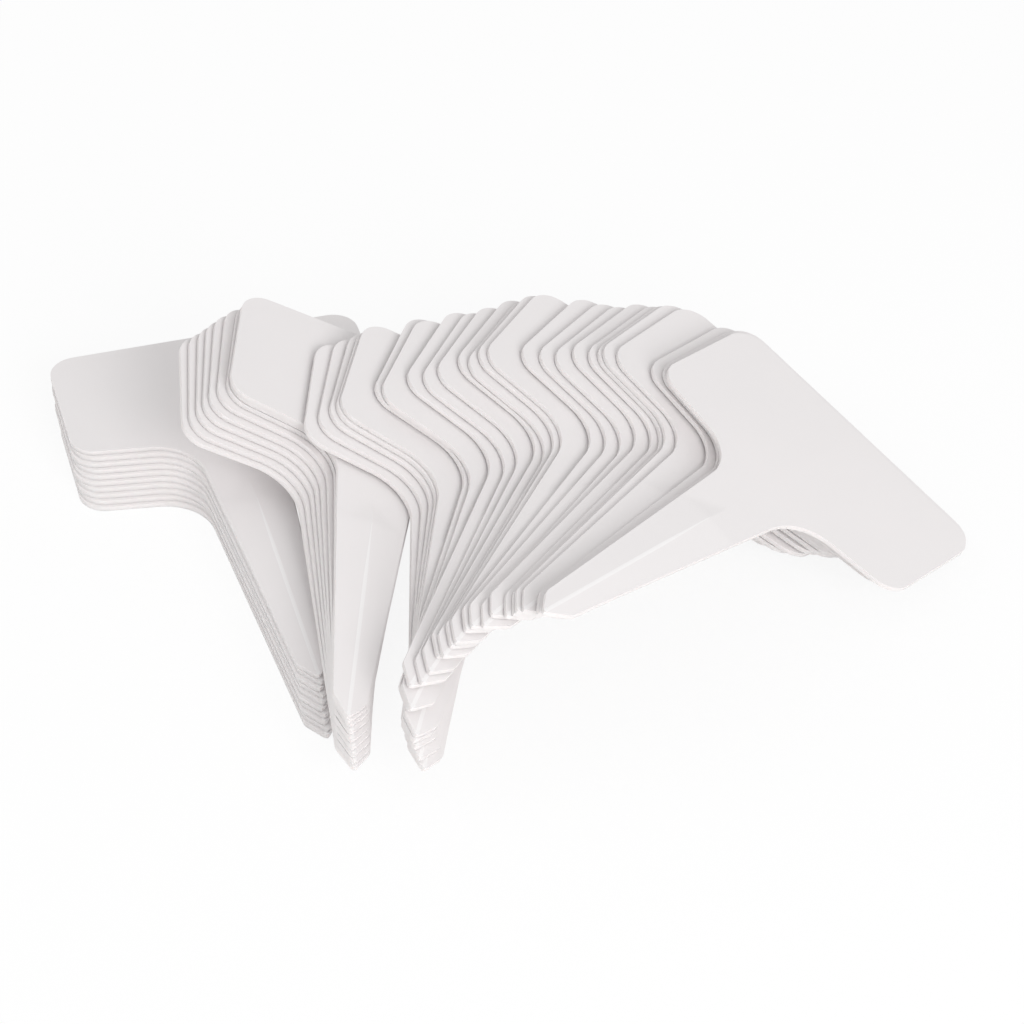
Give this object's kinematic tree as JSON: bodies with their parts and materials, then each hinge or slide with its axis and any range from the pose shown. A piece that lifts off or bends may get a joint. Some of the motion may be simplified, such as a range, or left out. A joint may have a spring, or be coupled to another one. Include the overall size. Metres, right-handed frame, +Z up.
{
  "type": "plant label stake",
  "caption": "Fanned pile of loose white T-shaped plant labels: a flat writing head on a creased, tapering stem with a short point for pushing into soil.",
  "frame": {"origin": "the middle of the underside of the lowest label's head, on the table that the pile lies on", "axes": "+Z is up from the table. +X runs to the right along the pile, from the flat stack to the open fan, which is its longest extent. +Y points away from the stems' points, towards the heads."},
  "size_m": [0.1715, 0.1302, 0.0378],
  "materials": {
    "white_sheet": "satin matte calendered sheet, plain white, bright punched edges"
  },
  "bodies": {
    "stack_label_01": {"stack_label_01": "white_sheet"},
    "stack_label_02": {"stack_label_02": "white_sheet"},
    "stack_label_03": {"stack_label_03": "white_sheet"},
    "stack_label_04": {"stack_label_04": "white_sheet"},
    "stack_label_05": {"stack_label_05": "white_sheet"},
    "stack_label_06": {"stack_label_06": "white_sheet"},
    "stack_label_07": {"stack_label_07": "white_sheet"},
    "stack_label_08": {"stack_label_08": "white_sheet"},
    "stack_label_09": {"stack_label_09": "white_sheet"},
    "stack_label_10": {"stack_label_10": "white_sheet"},
    "left_fan_label_01": {"left_fan_label_01": "white_sheet"},
    "left_fan_label_02": {"left_fan_label_02": "white_sheet"},
    "left_fan_label_03": {"left_fan_label_03": "white_sheet"},
    "left_fan_label_04": {"left_fan_label_04": "white_sheet"},
    "left_fan_label_05": {"left_fan_label_05": "white_sheet"},
    "left_fan_label_06": {"left_fan_label_06": "white_sheet"},
    "left_fan_label_07": {"left_fan_label_07": "white_sheet"},
    "left_fan_label_08": {"left_fan_label_08": "white_sheet"},
    "left_fan_label_09": {"left_fan_label_09": "white_sheet"},
    "right_fan_label_01": {"right_fan_label_01": "white_sheet"},
    "right_fan_label_02": {"right_fan_label_02": "white_sheet"},
    "right_fan_label_03": {"right_fan_label_03": "white_sheet"},
    "right_fan_label_04": {"right_fan_label_04": "white_sheet"},
    "right_fan_label_05": {"right_fan_label_05": "white_sheet"},
    "right_fan_label_06": {"right_fan_label_06": "white_sheet"},
    "right_fan_label_07": {"right_fan_label_07": "white_sheet"},
    "right_fan_label_08": {"right_fan_label_08": "white_sheet"},
    "right_fan_label_09": {"right_fan_label_09": "white_sheet"},
    "right_fan_label_10": {"right_fan_label_10": "white_sheet"},
    "right_fan_label_11": {"right_fan_label_11": "white_sheet"},
    "right_fan_label_12": {"right_fan_label_12": "white_sheet"},
    "right_fan_label_13": {"right_fan_label_13": "white_sheet"},
    "right_fan_label_14": {"right_fan_label_14": "white_sheet"},
    "right_fan_label_15": {"right_fan_label_15": "white_sheet"},
    "right_fan_label_16": {"right_fan_label_16": "white_sheet"},
    "right_fan_label_17": {"right_fan_label_17": "white_sheet"},
    "right_fan_label_18": {"right_fan_label_18": "white_sheet"},
    "right_fan_label_19": {"right_fan_label_19": "white_sheet"},
    "right_fan_label_20": {"right_fan_label_20": "white_sheet"},
    "right_fan_label_21": {"right_fan_label_21": "white_sheet"},
    "right_fan_label_22": {"right_fan_label_22": "white_sheet"},
    "right_fan_label_23": {"right_fan_label_23": "white_sheet"},
    "right_fan_label_24": {"right_fan_label_24": "white_sheet"},
    "right_fan_label_25": {"right_fan_label_25": "white_sheet"},
    "right_fan_label_26": {"right_fan_label_26": "white_sheet"}
  },
  "joints": [
    {"name": "stack_label_02_lift", "type": "slide", "parent": "stack_label_01", "child": "stack_label_02", "axis": [0, 0, 1], "range_m": [0, 0.012]},
    {"name": "stack_label_03_lift", "type": "slide", "parent": "stack_label_02", "child": "stack_label_03", "axis": [0, 0, 1], "range_m": [0, 0.012]},
    {"name": "stack_label_04_lift", "type": "slide", "parent": "stack_label_03", "child": "stack_label_04", "axis": [0, 0, 1], "range_m": [0, 0.012]},
    {"name": "stack_label_05_lift", "type": "slide", "parent": "stack_label_04", "child": "stack_label_05", "axis": [0, 0, 1], "range_m": [0, 0.012]},
    {"name": "stack_label_06_lift", "type": "slide", "parent": "stack_label_05", "child": "stack_label_06", "axis": [0, 0, 1], "range_m": [0, 0.012]},
    {"name": "stack_label_07_lift", "type": "slide", "parent": "stack_label_06", "child": "stack_label_07", "axis": [0, 0, 1], "range_m": [0, 0.012]},
    {"name": "stack_label_08_lift", "type": "slide", "parent": "stack_label_07", "child": "stack_label_08", "axis": [0, 0, 1], "range_m": [0, 0.012]},
    {"name": "stack_label_09_lift", "type": "slide", "parent": "stack_label_08", "child": "stack_label_09", "axis": [0, 0, 1], "range_m": [0, 0.012]},
    {"name": "stack_label_10_lift", "type": "slide", "parent": "stack_label_09", "child": "stack_label_10", "axis": [0, 0, 1], "range_m": [0, 0.012]},
    {"name": "left_fan_label_01_lift", "type": "slide", "parent": "stack_label_10", "child": "left_fan_label_01", "axis": [0, 0, 1], "range_m": [0, 0.012]},
    {"name": "left_fan_label_02_lift", "type": "slide", "parent": "left_fan_label_01", "child": "left_fan_label_02", "axis": [0, 0, 1], "range_m": [0, 0.012]},
    {"name": "left_fan_label_03_lift", "type": "slide", "parent": "left_fan_label_02", "child": "left_fan_label_03", "axis": [0, 0, 1], "range_m": [0, 0.012]},
    {"name": "left_fan_label_04_lift", "type": "slide", "parent": "left_fan_label_03", "child": "left_fan_label_04", "axis": [0, 0, 1], "range_m": [0, 0.012]},
    {"name": "left_fan_label_05_lift", "type": "slide", "parent": "left_fan_label_04", "child": "left_fan_label_05", "axis": [0, 0, 1], "range_m": [0, 0.012]},
    {"name": "left_fan_label_06_lift", "type": "slide", "parent": "left_fan_label_05", "child": "left_fan_label_06", "axis": [0, 0, 1], "range_m": [0, 0.012]},
    {"name": "left_fan_label_07_lift", "type": "slide", "parent": "left_fan_label_06", "child": "left_fan_label_07", "axis": [0, 0, 1], "range_m": [0, 0.012]},
    {"name": "left_fan_label_08_lift", "type": "slide", "parent": "left_fan_label_07", "child": "left_fan_label_08", "axis": [0, 0, 1], "range_m": [0, 0.012]},
    {"name": "left_fan_label_09_lift", "type": "slide", "parent": "left_fan_label_08", "child": "left_fan_label_09", "axis": [0, 0, 1], "range_m": [0, 0.012]},
    {"name": "right_fan_label_01_lift", "type": "slide", "parent": "left_fan_label_09", "child": "right_fan_label_01", "axis": [0, 0, 1], "range_m": [0, 0.012]},
    {"name": "right_fan_label_02_lift", "type": "slide", "parent": "right_fan_label_01", "child": "right_fan_label_02", "axis": [0, 0, 1], "range_m": [0, 0.012]},
    {"name": "right_fan_label_03_lift", "type": "slide", "parent": "right_fan_label_02", "child": "right_fan_label_03", "axis": [0, 0, 1], "range_m": [0, 0.012]},
    {"name": "right_fan_label_04_lift", "type": "slide", "parent": "right_fan_label_03", "child": "right_fan_label_04", "axis": [0, 0, 1], "range_m": [0, 0.012]},
    {"name": "right_fan_label_05_lift", "type": "slide", "parent": "right_fan_label_04", "child": "right_fan_label_05", "axis": [0, 0, 1], "range_m": [0, 0.012]},
    {"name": "right_fan_label_06_lift", "type": "slide", "parent": "right_fan_label_05", "child": "right_fan_label_06", "axis": [0, 0, 1], "range_m": [0, 0.012]},
    {"name": "right_fan_label_07_lift", "type": "slide", "parent": "right_fan_label_06", "child": "right_fan_label_07", "axis": [0, 0, 1], "range_m": [0, 0.012]},
    {"name": "right_fan_label_08_lift", "type": "slide", "parent": "right_fan_label_07", "child": "right_fan_label_08", "axis": [0, 0, 1], "range_m": [0, 0.012]},
    {"name": "right_fan_label_09_lift", "type": "slide", "parent": "right_fan_label_08", "child": "right_fan_label_09", "axis": [0, 0, 1], "range_m": [0, 0.012]},
    {"name": "right_fan_label_10_lift", "type": "slide", "parent": "right_fan_label_09", "child": "right_fan_label_10", "axis": [0, 0, 1], "range_m": [0, 0.012]},
    {"name": "right_fan_label_11_lift", "type": "slide", "parent": "right_fan_label_10", "child": "right_fan_label_11", "axis": [0, 0, 1], "range_m": [0, 0.012]},
    {"name": "right_fan_label_12_lift", "type": "slide", "parent": "right_fan_label_11", "child": "right_fan_label_12", "axis": [0, 0, 1], "range_m": [0, 0.012]},
    {"name": "right_fan_label_13_lift", "type": "slide", "parent": "right_fan_label_12", "child": "right_fan_label_13", "axis": [0, 0, 1], "range_m": [0, 0.012]},
    {"name": "right_fan_label_14_lift", "type": "slide", "parent": "right_fan_label_13", "child": "right_fan_label_14", "axis": [0, 0, 1], "range_m": [0, 0.012]},
    {"name": "right_fan_label_15_lift", "type": "slide", "parent": "right_fan_label_14", "child": "right_fan_label_15", "axis": [0, 0, 1], "range_m": [0, 0.012]},
    {"name": "right_fan_label_16_lift", "type": "slide", "parent": "right_fan_label_15", "child": "right_fan_label_16", "axis": [0, 0, 1], "range_m": [0, 0.012]},
    {"name": "right_fan_label_17_lift", "type": "slide", "parent": "right_fan_label_16", "child": "right_fan_label_17", "axis": [0, 0, 1], "range_m": [0, 0.012]},
    {"name": "right_fan_label_18_lift", "type": "slide", "parent": "right_fan_label_17", "child": "right_fan_label_18", "axis": [0, 0, 1], "range_m": [0, 0.012]},
    {"name": "right_fan_label_19_lift", "type": "slide", "parent": "right_fan_label_18", "child": "right_fan_label_19", "axis": [0, 0, 1], "range_m": [0, 0.012]},
    {"name": "right_fan_label_20_lift", "type": "slide", "parent": "right_fan_label_19", "child": "right_fan_label_20", "axis": [0, 0, 1], "range_m": [0, 0.012]},
    {"name": "right_fan_label_21_lift", "type": "slide", "parent": "right_fan_label_20", "child": "right_fan_label_21", "axis": [0, 0, 1], "range_m": [0, 0.012]},
    {"name": "right_fan_label_22_lift", "type": "slide", "parent": "right_fan_label_21", "child": "right_fan_label_22", "axis": [0, 0, 1], "range_m": [0, 0.012]},
    {"name": "right_fan_label_23_lift", "type": "slide", "parent": "right_fan_label_22", "child": "right_fan_label_23", "axis": [0, 0, 1], "range_m": [0, 0.012]},
    {"name": "right_fan_label_24_lift", "type": "slide", "parent": "right_fan_label_23", "child": "right_fan_label_24", "axis": [0, 0, 1], "range_m": [0, 0.012]},
    {"name": "right_fan_label_25_lift", "type": "slide", "parent": "right_fan_label_24", "child": "right_fan_label_25", "axis": [0, 0, 1], "range_m": [0, 0.012]},
    {"name": "right_fan_label_26_lift", "type": "slide", "parent": "right_fan_label_25", "child": "right_fan_label_26", "axis": [0, 0, 1], "range_m": [0, 0.012]}
  ]
}
